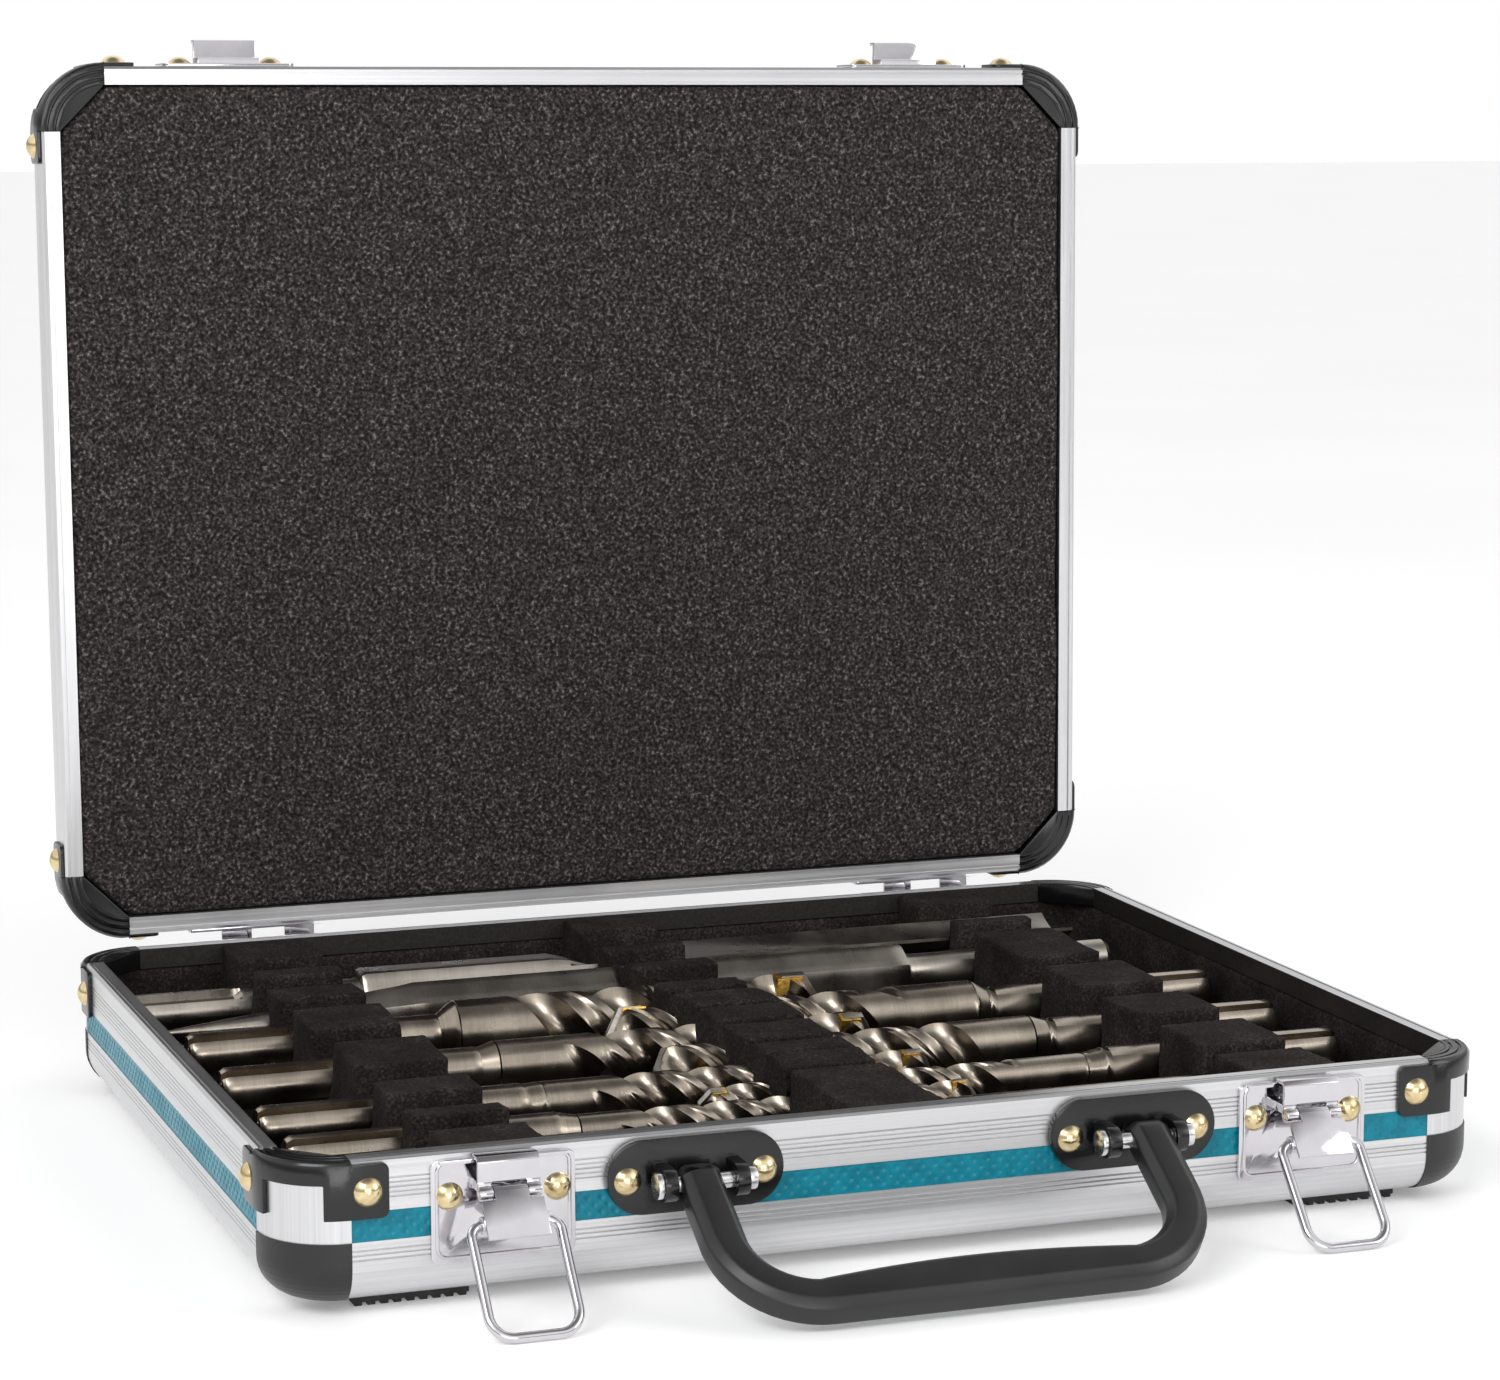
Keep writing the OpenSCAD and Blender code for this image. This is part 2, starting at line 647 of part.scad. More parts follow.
// Gouge chisel: the stem runs into a wide blade that rises towards its edge
module gouge_chisel() {
    rise = 6.2;
    color(steel) laid(GOUGE, GOUGE[2], GOUGE[3]) {
        chisel_stem(chisel_len - blade_len + 1, 30);
        mirror([1, 0, 0]) translate([0, -blade_w / 2, chisel_len - blade_len]) rotate([0, -90, -90])
            linear_extrude(blade_w) polygon([[0, -5.5], [0, 5.5], [40, 5.8], [blade_len, rise],
                [blade_len, rise - 2], [60, 2.5], [30, -2], [15, -5.5]]);
    }
}

module drill_16() drill(0);
module drill_14() drill(1);
module drill_12_left() drill(2);
module drill_12_right() drill(3);
module drill_10() drill(4);
module drill_8_right() drill(5);
module drill_8_left() drill(6);
module drill_6_left() drill(7);
module drill_6_right() drill(8);

front_wall();
back_wall();
left_wall();
right_wall();
side_strips();
corner_posts();
ball_corners();
corner_braces();
tray_rivets();
bottom_panel();
feet();
lining();
floor_pad();
foam_row_left();
foam_row_middle();
foam_row_right();
hinge_leaf_lower_left();
hinge_leaf_lower_right();
hinge_pins();
hinge_rivets_lower();
latch_plate_left();
latch_plate_right();
latch_pins();
handle_bracket_left();
handle_bracket_right();
handle_bolts();
lid_front_wall();
lid_back_wall();
lid_left_wall();
lid_right_wall();
lid_corner_posts();
lid_ball_corners();
lid_corner_braces();
lid_rivets();
lid_panel();
lid_foam_pad();
catch_left();
catch_right();
hinge_leaf_upper_left();
hinge_leaf_upper_right();
hinge_rivets_upper();
latch_lever_left();
latch_lever_right();
bail_left();
bail_right();
handle();
drill_16();
drill_14();
drill_12_left();
drill_12_right();
drill_10();
drill_8_right();
drill_8_left();
drill_6_left();
drill_6_right();
point_chisel();
gouge_chisel();
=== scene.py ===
"""Aluminium attache-style tool case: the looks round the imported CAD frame."""

import json
import math

import bmesh
import bpy
from mathutils import Matrix, Vector, noise


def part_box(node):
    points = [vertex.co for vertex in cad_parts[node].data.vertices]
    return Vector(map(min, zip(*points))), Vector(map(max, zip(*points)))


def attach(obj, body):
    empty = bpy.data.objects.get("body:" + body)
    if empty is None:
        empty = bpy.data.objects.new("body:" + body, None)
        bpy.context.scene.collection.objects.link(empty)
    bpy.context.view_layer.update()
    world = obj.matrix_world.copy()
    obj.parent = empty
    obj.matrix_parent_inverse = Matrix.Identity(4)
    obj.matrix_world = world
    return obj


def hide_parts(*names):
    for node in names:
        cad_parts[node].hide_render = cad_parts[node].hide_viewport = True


MM = 0.001
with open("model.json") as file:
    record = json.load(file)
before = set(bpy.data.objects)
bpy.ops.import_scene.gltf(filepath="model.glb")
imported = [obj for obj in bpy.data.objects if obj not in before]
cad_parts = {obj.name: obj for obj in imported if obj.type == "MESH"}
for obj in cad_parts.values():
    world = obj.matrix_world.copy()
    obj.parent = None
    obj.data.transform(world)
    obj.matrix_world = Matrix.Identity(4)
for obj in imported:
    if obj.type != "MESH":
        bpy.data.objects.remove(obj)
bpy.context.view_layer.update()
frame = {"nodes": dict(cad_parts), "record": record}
NODES = frame["nodes"]
JOINTS = {j["name"]: j for j in frame["record"]["behaviour"]["joints"]}
BODY_OF = {n: b for b, names in frame["record"]["behaviour"]["bodies"].items() for n in names}
SLOT_OF = {p["node"]: p["material_slot"] for p in frame["record"]["subparts"]}

FRONT_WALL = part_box("front_wall")
FRONT = FRONT_WALL[0].y
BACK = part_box("back_wall")[1].y
CASE_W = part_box("right_wall")[1].x * 2
MIDDLE_Y = (FRONT + BACK) / 2
CORNER_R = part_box("right_wall")[1].x - FRONT_WALL[1].x
TOOL_AXIS = (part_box("drill_16")[0].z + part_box("drill_16")[1].z) / 2
# Depth of the walls' rails, counted from their outer faces
RAIL_DEPTH = 4.3 * MM
# Turns noise off the meshes' own grid
TWIST = Matrix.Rotation(0.7, 3, Vector((1, 2, 3)))


def smoothstep(a, b, x):
    t = min(1.0, max(0.0, (x - a) / (b - a)))
    return t * t * (3 - 2 * t)


# ---- Meshes ----

def smooth_by_angle(mesh, degrees=32):
    """Smooth faces, with the edges sharper than this kept hard."""
    bm = bmesh.new()
    bm.from_mesh(mesh)
    for f in bm.faces:
        f.smooth = True
    for e in bm.edges:
        if len(e.link_faces) == 2:
            e.smooth = e.calc_face_angle() < math.radians(degrees)
    bm.to_mesh(mesh)
    bm.free()


def add_piece(name, mesh, body, materials, replaces=(), degrees=32):
    """A finished piece, riding on a body and standing for CAD nodes."""
    smooth_by_angle(mesh, degrees)
    obj = bpy.data.objects.new(name, mesh)
    bpy.context.scene.collection.objects.link(obj)
    mesh.materials.clear()
    for m in materials:
        mesh.materials.append(m)
    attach(obj, body)
    if replaces:
        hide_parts(*replaces)
    return obj


def to_mesh(bm, name):
    bmesh.ops.recalc_face_normals(bm, faces=bm.faces)
    mesh = bpy.data.meshes.new(name)
    bm.to_mesh(mesh)
    bm.free()
    return mesh


def cad_bmesh(node):
    """The CAD node's surface with its flat areas as single faces."""
    bm = bmesh.new()
    bm.from_mesh(NODES[node].data)
    bmesh.ops.remove_doubles(bm, verts=bm.verts, dist=2e-6)
    bmesh.ops.dissolve_limit(bm, angle_limit=math.radians(0.4), verts=bm.verts, edges=bm.edges)
    return bm


def softened(node, width, material, degrees=40):
    """A copy of a CAD node with its sharp edges rounded over."""
    bm = cad_bmesh(node)
    edges = [e for e in bm.edges
             if len(e.link_faces) == 2 and e.calc_face_angle() > math.radians(degrees)]
    bmesh.ops.bevel(bm, geom=edges, offset=width, segments=2, profile=0.6,
                    affect="EDGES", clamp_overlap=False)
    return add_piece(node + "_detail", to_mesh(bm, node), BODY_OF[node], [material],
                     [node], degrees)


def remeshed(node, voxel, passes):
    """A copy of a CAD node in small even quads with softened edges."""
    return voxelled(to_mesh(cad_bmesh(node), node), voxel, passes)


def voxelled(mesh, voxel, passes):
    """The mesh in small even quads with softened edges."""
    obj = bpy.data.objects.new("shaping", mesh)
    bpy.context.scene.collection.objects.link(obj)
    m = obj.modifiers.new("remesh", "REMESH")
    m.mode = "VOXEL"
    m.voxel_size = voxel
    s = obj.modifiers.new("smooth", "SMOOTH")
    s.factor = 0.5
    s.iterations = passes
    graph = bpy.context.evaluated_depsgraph_get()
    result = bpy.data.meshes.new_from_object(obj.evaluated_get(graph))
    bpy.data.objects.remove(obj)
    bpy.data.meshes.remove(mesh)
    return result


def rings_to_mesh(rings, name):
    """A closed tube through rings of points, each ring with the same count."""
    bm = bmesh.new()
    rows = [[bm.verts.new(p) for p in ring] for ring in rings]
    n = len(rows[0])
    for a, b in zip(rows, rows[1:]):
        for j in range(n):
            k = (j + 1) % n
            bm.faces.new((a[j], a[k], b[k], b[j]))
    bm.faces.new(rows[0][::-1])
    bm.faces.new(rows[-1])
    return to_mesh(bm, name)


# ---- Materials ----

class Nodes:
    """Short calls for the nodes of one material."""

    def __init__(self, name, colour, metallic, roughness):
        self.material = bpy.data.materials.new(name)
        self.material.use_nodes = True
        self.tree = self.material.node_tree
        self.shader = self.tree.nodes["Principled BSDF"]
        self.set("Base Color", (*colour, 1))
        self.set("Metallic", metallic)
        self.set("Roughness", roughness)
        self.coords = self.tree.nodes.new("ShaderNodeTexCoord").outputs["Object"]

    def set(self, socket, value):
        self.shader.inputs[socket].default_value = value

    def link(self, a, b):
        self.tree.links.new(a, b)

    def turned(self):
        """Coordinates turned off the axes, so that fine noise doesn't line up with edges."""
        m = self.tree.nodes.new("ShaderNodeMapping")
        m.inputs["Rotation"].default_value = (0.5, 0.35, 0.9)
        self.link(self.coords, m.inputs["Vector"])
        return m.outputs["Vector"]

    def stretched(self, scale):
        m = self.tree.nodes.new("ShaderNodeMapping")
        m.inputs["Scale"].default_value = scale
        self.link(self.coords, m.inputs["Vector"])
        return m.outputs["Vector"]

    def noise(self, scale, detail=3, vector=None, roughness=0.55):
        n = self.tree.nodes.new("ShaderNodeTexNoise")
        n.inputs["Scale"].default_value = scale
        n.inputs["Detail"].default_value = detail
        n.inputs["Roughness"].default_value = roughness
        self.link(vector or self.coords, n.inputs["Vector"])
        return n.outputs["Fac"]

    def cells(self, scale, randomness=1.0):
        n = self.tree.nodes.new("ShaderNodeTexVoronoi")
        n.inputs["Scale"].default_value = scale
        n.inputs["Randomness"].default_value = randomness
        self.link(self.coords, n.inputs["Vector"])
        return n

    def ramp(self, fac, stops):
        n = self.tree.nodes.new("ShaderNodeValToRGB")
        e = n.color_ramp.elements
        while len(e) < len(stops):
            e.new(0.5)
        for item, (at, colour) in zip(e, stops):
            item.position = at
            item.color = (*colour, 1) if isinstance(colour, tuple) else (colour,) * 3 + (1,)
        self.link(fac, n.inputs["Fac"])
        return n.outputs["Color"]

    def mix(self, kind, fac, a, b):
        n = self.tree.nodes.new("ShaderNodeMix")
        n.data_type = "RGBA"
        n.blend_type = kind
        if isinstance(fac, float):
            n.inputs["Factor"].default_value = fac
        else:
            self.link(fac, n.inputs["Factor"])
        for socket, value in (("A", a), ("B", b)):
            target = [i for i in n.inputs if i.name == socket and i.type == "RGBA"][0]
            if isinstance(value, tuple):
                target.default_value = (*value, 1)
            else:
                self.link(value, target)
        return [o for o in n.outputs if o.type == "RGBA"][0]

    def bump(self, height, distance, strength=1.0, after=None):
        n = self.tree.nodes.new("ShaderNodeBump")
        n.inputs["Strength"].default_value = strength
        n.inputs["Distance"].default_value = distance
        self.link(height, n.inputs["Height"])
        if after is not None:
            self.link(after, n.inputs["Normal"])
        self.link(n.outputs["Normal"], self.shader.inputs["Normal"])
        return n.outputs["Normal"]


def along(axis, lengthwise, across):
    """A texture scale that is slow along one axis."""
    return tuple(lengthwise if a == axis else across for a in "xyz")


def aluminium(axis):
    """Satin extruded aluminium with die lines along the axis."""
    m = Nodes("aluminium_" + axis, (0.66, 0.66, 0.67), 1.0, 0.32)
    lines = m.noise(1, 4, m.stretched(along(axis, 4, 1500)))
    clouds = m.noise(38, 4)
    m.link(m.ramp(m.mix("MIX", 0.35, lines, clouds), [(0.25, 0.27), (0.75, 0.40)]),
           m.shader.inputs["Roughness"])
    m.link(m.ramp(lines, [(0.25, (0.55, 0.55, 0.56)), (0.7, (0.68, 0.68, 0.69))]),
           m.shader.inputs["Base Color"])
    m.bump(lines, 0.00004, 0.5)
    return m.material


def coloured_strip(name, shade):
    """Lacquered strip, or at a lower shade the floor of its dimples, darkened as painted shade."""
    m = Nodes(name, (0.001 * shade, 0.16 * shade, 0.23 * shade), 0.0, 0.28)
    tone = m.noise(260, 4)
    m.link(m.ramp(tone, [(0.3, (0.0005 * shade, 0.125 * shade, 0.180 * shade)),
                         (0.7, (0.001 * shade, 0.190 * shade, 0.262 * shade))]),
           m.shader.inputs["Base Color"])
    m.link(m.ramp(m.noise(60, 3), [(0.3, 0.22), (0.7, 0.36)]), m.shader.inputs["Roughness"])
    m.set("Specular IOR Level", 0.25)
    m.bump(m.noise(2600, 2), 0.00003, 0.4)
    return m.material


def moulded_black(name, colour, roughness, grain):
    """Moulded black plastic: a fine grain, faint clouding and paler rubbed spots."""
    m = Nodes(name, colour, 0.0, roughness)
    clouds = m.noise(45, 5)
    pale = tuple(c * 1.5 + 0.001 for c in colour)
    m.link(m.ramp(clouds, [(0.35, colour), (0.72, pale)]), m.shader.inputs["Base Color"])
    m.link(m.ramp(clouds, [(0.3, roughness - 0.05), (0.7, roughness + 0.09)]),
           m.shader.inputs["Roughness"])
    m.set("Specular IOR Level", 0.5)
    m.bump(m.noise(grain, 2), 0.00003, 0.6)
    return m.material


def brass():
    m = Nodes("brass", (0.68, 0.54, 0.30), 1.0, 0.2)
    clouds = m.noise(420, 5)
    m.link(m.ramp(clouds, [(0.3, (0.56, 0.43, 0.22)), (0.62, (0.76, 0.63, 0.38))]),
           m.shader.inputs["Base Color"])
    m.link(m.ramp(clouds, [(0.3, 0.30), (0.65, 0.14)]), m.shader.inputs["Roughness"])
    m.bump(m.noise(1500, 3), 0.00002, 0.4)
    return m.material


def row_foam():
    """Closed-cell foam: dull black with fine pores and a brown cast."""
    m = Nodes("row_foam", (0.01, 0.008, 0.007), 0.0, 0.95)
    m.coords = m.turned()
    fine = m.noise(1500, 3)
    broad = m.noise(90, 4)
    tone = m.mix("MIX", 0.35, fine, broad)
    m.link(m.ramp(tone, [(0.32, (0.0040, 0.0033, 0.0030)), (0.52, (0.0180, 0.0145, 0.0132)),
                         (0.72, (0.062, 0.052, 0.048))]), m.shader.inputs["Base Color"])
    m.set("Specular IOR Level", 0.12)
    m.bump(m.noise(1900, 3), 0.0004, 0.8, m.bump(broad, 0.0006, 0.4))
    return m.material


def lid_foam():
    """Bonded lid foam: coarse dark grains with paler specks and open pores."""
    m = Nodes("lid_foam", (0.03, 0.024, 0.025), 0.0, 0.95)
    m.coords = m.turned()
    grains = m.cells(1250)
    speck = m.noise(1150, 2)
    patches = m.noise(30, 3)
    base = m.ramp(speck, [(0.34, (0.0035, 0.0028, 0.003)), (0.50, (0.022, 0.0175, 0.018)),
                          (0.62, (0.060, 0.050, 0.050)), (0.72, (0.17, 0.145, 0.14))])
    shade = m.ramp(patches, [(0.3, 0.93), (0.7, 1.0)])
    m.link(m.mix("MULTIPLY", 1.0, base, shade), m.shader.inputs["Base Color"])
    m.set("Specular IOR Level", 0.25)
    m.bump(speck, 0.0006, 0.9, m.bump(grains.outputs["Distance"], 0.0005, 0.6))
    return m.material


def lining_sheet():
    """Dark sheet material, painted shade for the inner wall faces: a smooth skin with faint mottling."""
    m = Nodes("lining_sheet", (0.012, 0.010, 0.009), 0.0, 0.55)
    skin = m.noise(1400, 3)
    m.link(m.ramp(skin, [(0.35, (0.007, 0.0058, 0.0052)), (0.65, (0.018, 0.015, 0.0135))]),
           m.shader.inputs["Base Color"])
    m.set("Specular IOR Level", 0.3)
    m.bump(skin, 0.00005, 0.5)
    return m.material


def board():
    m = Nodes("panel", (0.03, 0.03, 0.031), 0.0, 0.6)
    leather = m.cells(420)
    m.link(m.ramp(m.noise(70, 4), [(0.3, (0.022, 0.022, 0.023)), (0.7, (0.045, 0.045, 0.046))]),
           m.shader.inputs["Base Color"])
    m.link(m.ramp(leather.outputs["Distance"], [(0.0, 0.5), (0.7, 0.72)]), m.shader.inputs["Roughness"])
    m.bump(leather.outputs["Distance"], 0.00025, 0.6)
    return m.material


def rubber():
    m = Nodes("foot_rubber", (0.012, 0.012, 0.012), 0.0, 0.75)
    m.link(m.ramp(m.noise(300, 4), [(0.3, (0.008, 0.008, 0.008)), (0.7, (0.022, 0.021, 0.02))]),
           m.shader.inputs["Base Color"])
    m.bump(m.noise(1600, 3), 0.00008, 0.6)
    return m.material


def tool_steel(name, dark, light, roughness):
    """Ground steel with fine lines round the tool and a brownish film."""
    m = Nodes(name, light, 1.0, roughness)
    lines = m.noise(1, 3, m.stretched((2600, 60, 60)))
    film = m.noise(85, 5)
    m.link(m.ramp(m.mix("MIX", 0.75, lines, film), [(0.34, dark), (0.62, light)]),
           m.shader.inputs["Base Color"])
    m.link(m.ramp(film, [(0.3, roughness - 0.06), (0.7, roughness + 0.1)]), m.shader.inputs["Roughness"])
    m.bump(lines, 0.000008, 0.3)
    return m.material


def carbide():
    m = Nodes("carbide", (0.42, 0.40, 0.37), 1.0, 0.36)
    grind = m.noise(1, 3, m.stretched((500, 2600, 500)))
    m.link(m.ramp(grind, [(0.3, (0.33, 0.31, 0.28)), (0.7, (0.50, 0.48, 0.44))]),
           m.shader.inputs["Base Color"])
    m.bump(grind, 0.00004, 0.5)
    return m.material


def braze():
    """Copper-gold brazing round the carbide tips."""
    m = Nodes("braze", (0.8, 0.5, 0.15), 1.0, 0.38)
    blotch = m.noise(700, 4)
    m.link(m.ramp(blotch, [(0.36, (0.55, 0.22, 0.09)), (0.52, (0.83, 0.52, 0.10)),
                           (0.68, (0.90, 0.68, 0.16))]), m.shader.inputs["Base Color"])
    m.bump(m.noise(2100, 3), 0.00015, 0.7)
    return m.material


def bright_metal(name, colour, roughness):
    """Plated metal with faint ripples in the plating."""
    m = Nodes(name, colour, 1.0, roughness)
    ripples = m.noise(190, 3)
    m.link(m.ramp(m.noise(700, 4), [(0.3, roughness * 0.7), (0.75, roughness * 1.8)]),
           m.shader.inputs["Roughness"])
    dull = tuple(c * 0.93 for c in colour)
    m.link(m.ramp(ripples, [(0.3, dull), (0.7, colour)]), m.shader.inputs["Base Color"])
    m.bump(ripples, 0.00003, 0.4)
    return m.material


MATERIALS = {
    "coloured_strip": coloured_strip("coloured_strip", 1.0),
    "corner_plastic": moulded_black("corner_plastic", (0.006, 0.006, 0.0063), 0.38, 2200),
    "black_plastic": moulded_black("black_plastic", (0.003, 0.003, 0.0033), 0.2, 1500),
    "handle_plastic": moulded_black("handle_plastic", (0.006, 0.006, 0.0063), 0.32, 2600),
    "brass": brass(),
    "foam": row_foam(),
    "lid_foam": lid_foam(),
    "panel": board(),
    "foot_rubber": rubber(),
    "drill_steel": tool_steel("drill_steel", (0.24, 0.207, 0.170), (0.37, 0.322, 0.266), 0.24),
    "chisel_steel": tool_steel("chisel_steel", (0.26, 0.235, 0.205), (0.39, 0.355, 0.315), 0.27),
    "zinc": bright_metal("zinc", (0.70, 0.70, 0.71), 0.2),
    "chrome": bright_metal("chrome", (0.62, 0.605, 0.63), 0.07),
}
CARBIDE = carbide()
# Dark sheet laid on the aluminium inside the tray walls as painted shade
INNER_WALL_SHADE = lining_sheet()
# Darker copy of the strip lacquer: painted shade for the floors of the dimples
DIMPLE_PAINTED_SHADE = coloured_strip("strip_dimple", 0.5)
BRAZE = braze()
METAL_ALONG = {axis: aluminium(axis) for axis in "xyz"}


def paint_inner_shade(mesh):
    """Inward faces of a tray wall, up to its rim, take the dark sheet as painted shade."""
    mesh.materials.append(INNER_WALL_SHADE)
    for face in mesh.polygons:
        c, n = face.center, face.normal
        inset = min(c.y - FRONT, BACK - c.y, CASE_W / 2 - abs(c.x))
        if abs(n.y) > abs(n.x):
            inward = n.y if c.y < MIDDLE_Y else -n.y
        else:
            inward = -n.x if c.x > 0 else n.x
        # Inward faces past the depth of the rails: painted shade
        if inset > RAIL_DEPTH and inward > 0.5:
            face.material_index = 1


def paint_cad():
    """A procedural material on every CAD node that stays."""
    for name, obj in NODES.items():
        slot = SLOT_OF[name]
        if slot == "aluminium":
            lo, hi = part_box(name)
            size = hi - lo
            axis = max("xyz", key=lambda a: getattr(size, a))
            if "posts" in name:
                axis = "y" if name.startswith("lid") else "z"
            m = METAL_ALONG[axis]
        else:
            m = MATERIALS[slot]
        obj.data.materials.clear()
        obj.data.materials.append(m)
        # The tray walls' inner faces are painted dark as shade inside the case
        if name in ("front_wall", "back_wall", "left_wall", "right_wall"):
            paint_inner_shade(obj.data)


# ---- Case ----

def strips():
    """Coloured strips in the wall channels, embossed with rows of small dimples whose floors take a darker
    material as painted shade.
    """
    lo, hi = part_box("side_strips")
    height = hi.z - lo.z
    cell = 0.35 * MM
    recess = 0.2 * MM
    dimple = 0.256 * MM
    pitch = 3.0 * MM
    runs = [("front", Vector((0, FRONT, 0)), Vector((1, 0, 0)), Vector((0, -1, 0))),
            ("back", Vector((0, BACK, 0)), Vector((-1, 0, 0)), Vector((0, 1, 0))),
            ("left", Vector((-CASE_W / 2, MIDDLE_Y, 0)), Vector((0, -1, 0)), Vector((-1, 0, 0))),
            ("right", Vector((CASE_W / 2, MIDDLE_Y, 0)), Vector((0, 1, 0)), Vector((1, 0, 0)))]
    for i, (side, middle, way, out) in enumerate(runs):
        length = CASE_W - 2 * CORNER_R if i < 2 else (BACK - FRONT) - 2 * CORNER_R
        nx = round(length / cell)
        nz = round(height / cell)
        bm = bmesh.new()
        grid = []
        dents = []
        for a in range(nx + 1):
            column = []
            dents.append([])
            s = -length / 2 + length * a / nx
            for b in range(nz + 1):
                t = height * b / nz
                # Rounded dimples, each row offset by half of the pitch
                u, v = s / pitch, (t - height / 2) / pitch
                lattice = math.cos(2 * math.pi * u) * math.cos(2 * math.pi * v)
                dent = smoothstep(0.15, 0.75, lattice)
                rim = min(1.0, b / 2, (nz - b) / 2)
                p = middle + way * s - out * (recess + dimple * dent * rim)
                p.z = lo.z + t
                column.append(bm.verts.new(p))
                dents[-1].append(dent * rim)
            grid.append(column)
        for a in range(nx):
            for b in range(nz):
                face = bm.faces.new((grid[a][b], grid[a + 1][b], grid[a + 1][b + 1], grid[a][b + 1]))
                # Faces deep in a dimple take the second slot: painted shade in the recess
                face.material_index = 1 if dents[a][b] + dents[a + 1][b + 1] > 1.0 else 0
        mesh = to_mesh(bm, "strip_" + side)
        add_piece("strip_" + side, mesh, "tray", [MATERIALS["coloured_strip"], DIMPLE_PAINTED_SHADE],
                  ["side_strips"] if i == 0 else [], 60)


# Middle row, in mm: distance of each tool from the front face, its radius, and the width of its slit
MIDDLE_SLITS = [(45, 4, 2.4), (58.5, 4, 2.2), (72, 5, 3.2), (90, 6, 4.2), (109, 6, 3.0), (126, 7, 4.6),
                (144.5, 8, 16.8), (168, 8.2, 14.8), (189.5, 6, 20.8)]
SEAT_GAP = 0.3 * MM
NOTCH_DEPTH = 4 * MM


def keyhole(y, radius, width):
    """Outline of one slot from top to top: a slit over a round seat, or a plain notch if it is wide."""
    half = width / 2
    seat = radius + SEAT_GAP
    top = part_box("foam_row_middle")[1].z
    if half < seat:
        start = math.acos(half / seat)
        first, last = math.pi - start, 2 * math.pi + start
        angles = [first + (last - first) * k / 20 for k in range(21)]
        bottom = [(y + seat * math.cos(a), TOOL_AXIS + seat * math.sin(a)) for a in angles]
    else:
        bottom = [(y - half, TOOL_AXIS - NOTCH_DEPTH), (y + half, TOOL_AXIS - NOTCH_DEPTH)]
    return [(y - half, top), *bottom, (y + half, top)]


def slit_row():
    """The middle foam row: its blocks close over the drills, with a slit above each."""
    lo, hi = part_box("foam_row_middle")
    outline = [(lo.y, lo.z), (lo.y, hi.z)]
    for y, radius, width in MIDDLE_SLITS:
        outline += keyhole(FRONT + y * MM, radius * MM, width * MM)
    outline += [(hi.y, hi.z), (hi.y, lo.z)]
    bm = bmesh.new()
    faces = [bm.faces.new([bm.verts.new((x, y, z)) for y, z in outline]) for x in (lo.x, hi.x)]
    a, b = faces[0].verts, faces[1].verts
    for j in range(len(outline)):
        k = (j + 1) % len(outline)
        bm.faces.new((a[j], a[k], b[k], b[j]))
    bmesh.ops.triangulate(bm, faces=faces)
    return voxelled(to_mesh(bm, "foam_row_middle"), 0.6 * MM, 2)


def foam_row(node, seed):
    """One notched foam row: soft cut edges, each block a little out of line."""
    mesh = slit_row() if node == "foam_row_middle" else remeshed(node, 0.75 * MM, 2)
    lo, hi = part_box(node)
    blocks = 11
    normals = [v.normal.copy() for v in mesh.vertices]
    for v, n in zip(mesh.vertices, normals):
        p = v.co.copy()
        up = max(0.0, (p.z - lo.z - 12 * MM) / (hi.z - lo.z - 12 * MM))
        k = (p.y - lo.y) / (hi.y - lo.y) * blocks
        lean = noise.noise(Vector((k * 0.9, seed * 7.3, 0)))
        sink = abs(noise.noise(Vector((k * 0.8, seed * 3.1, 5))))
        rough = noise.noise(TWIST @ p * 820 + Vector((seed * 13, 0, 0)))
        wave = noise.noise(p * 160 + Vector((0, seed * 11, 0)))
        v.co = p + n * (0.10 * MM * rough + 0.16 * MM * wave * up) \
            + Vector((1.8 * MM * lean * up, 0, -1.2 * MM * sink * up))
    obj = add_piece(node + "_soft", mesh, "tray", [MATERIALS["foam"]], [node], 70)


def soft_sheet(node, voxel, amount, body, material):
    """A thin foam sheet or pad with soft edges and a gently uneven face."""
    mesh = remeshed(node, voxel, 2)
    normals = [v.normal.copy() for v in mesh.vertices]
    for v, n in zip(mesh.vertices, normals):
        p = TWIST @ v.co
        v.co = v.co + n * amount * (noise.noise(p * 310) * 0.5 + noise.noise(p * 45))
    obj = add_piece(node + "_soft", mesh, body, [material], [node], 70)


def bead(name, centre, w, h, corner):
    """A raised bead pressed into an upright plate on the front, as a rounded rectangle."""
    outline = []
    for i in range(4):
        sx, sy = (1, -1, -1, 1)[i], (1, 1, -1, -1)[i]
        for k in range(7):
            a = math.radians(90 * i + 15 * k)
            x = sx * (w / 2 - corner) + corner * math.cos(a)
            outline.append((x, sy * (h / 2 - corner) + corner * math.sin(a)))
    radius = 0.42 * MM
    bm = bmesh.new()
    loops = []
    n = len(outline)
    for j, (x, z) in enumerate(outline):
        a, b = Vector(outline[j - 1]), Vector(outline[(j + 1) % n])
        t = (b - a).normalized()
        side = Vector((t.y, -t.x))
        loop = []
        for k in range(9):
            angle = math.pi * k / 8
            q = Vector((x, z)) + side * radius * math.cos(angle)
            rise = radius * 0.75 * math.sin(angle) - 0.02 * MM
            loop.append(bm.verts.new(centre + Vector((q.x, -rise, q.y))))
        loops.append(loop)
    for j in range(n):
        a, b = loops[j], loops[(j + 1) % n]
        for k in range(8):
            bm.faces.new((a[k], a[k + 1], b[k + 1], b[k]))
        bm.faces.new((a[8], a[0], b[0], b[8]))
    add_piece(name, to_mesh(bm, name), "tray", [MATERIALS["chrome"]], (), 50)


